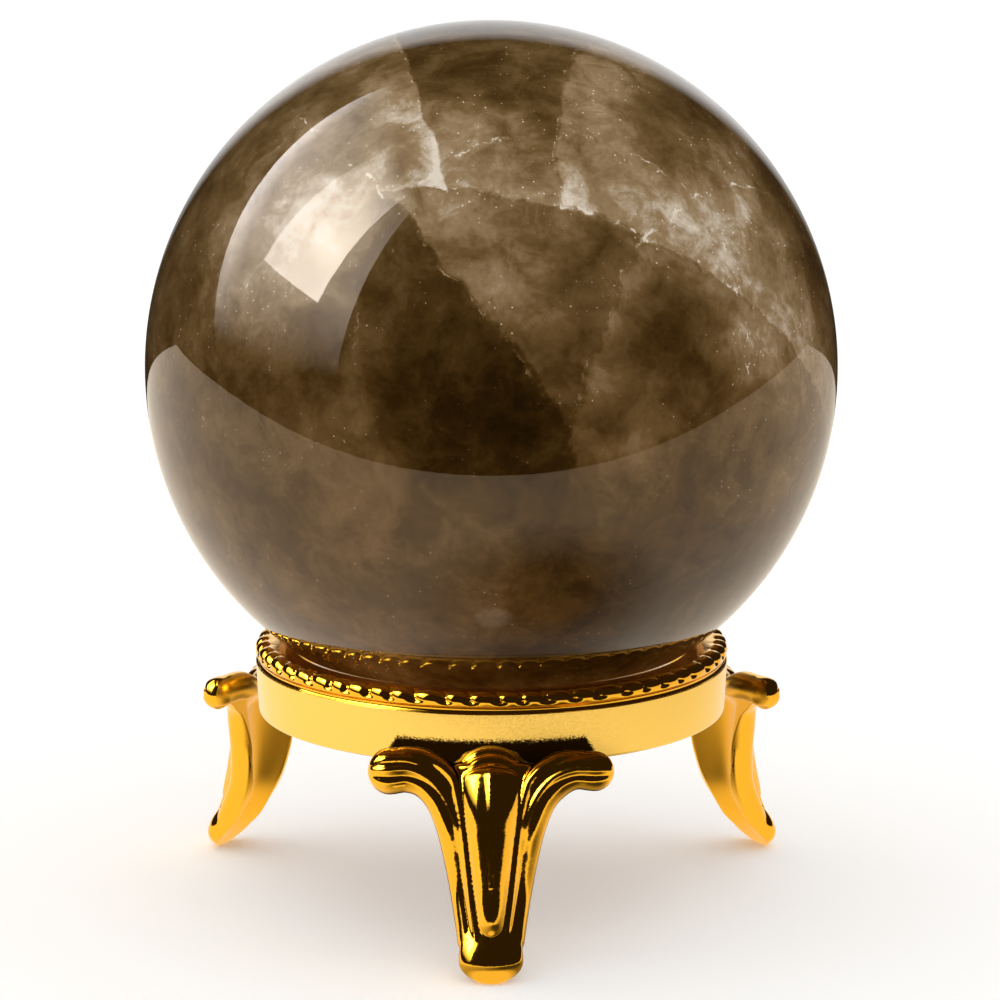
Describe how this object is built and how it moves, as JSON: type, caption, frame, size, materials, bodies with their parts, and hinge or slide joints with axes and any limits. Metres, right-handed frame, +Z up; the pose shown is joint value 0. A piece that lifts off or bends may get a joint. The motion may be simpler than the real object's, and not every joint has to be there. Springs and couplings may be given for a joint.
{
  "type": "crystal ball on a three-legged ring stand",
  "caption": "Polished smoky quartz ball that lifts off a gold-plated stand: a flat band with a beaded rim on cast cabriole legs.",
  "frame": {"origin": "on the table, at the middle of the circle through the feet, under the centre of the ball", "axes": "+Z up through the ball's centre, -Y towards the front leg, +X to the right of it"},
  "size_m": [0.06, 0.06, 0.0769],
  "materials": {
    "smoky_quartz": "polished smoky quartz, clear at the skin and cloudy inside",
    "satin_gold_plate": "gold plate over a fine satin grain",
    "polished_gold_plate": "mirror-polished gold plate"
  },
  "bodies": {
    "stand": {"ring_band": "satin_gold_plate", "bead_rim": "polished_gold_plate", "leg_front": "polished_gold_plate", "leg_back_left": "polished_gold_plate", "leg_back_right": "polished_gold_plate"},
    "ball": {"quartz_ball": "smoky_quartz"}
  },
  "joints": [
    {"name": "ball_lift", "type": "slide", "parent": "stand", "child": "ball", "axis": [0, 0, 1], "range_m": [0, 0.03]}
  ]
}
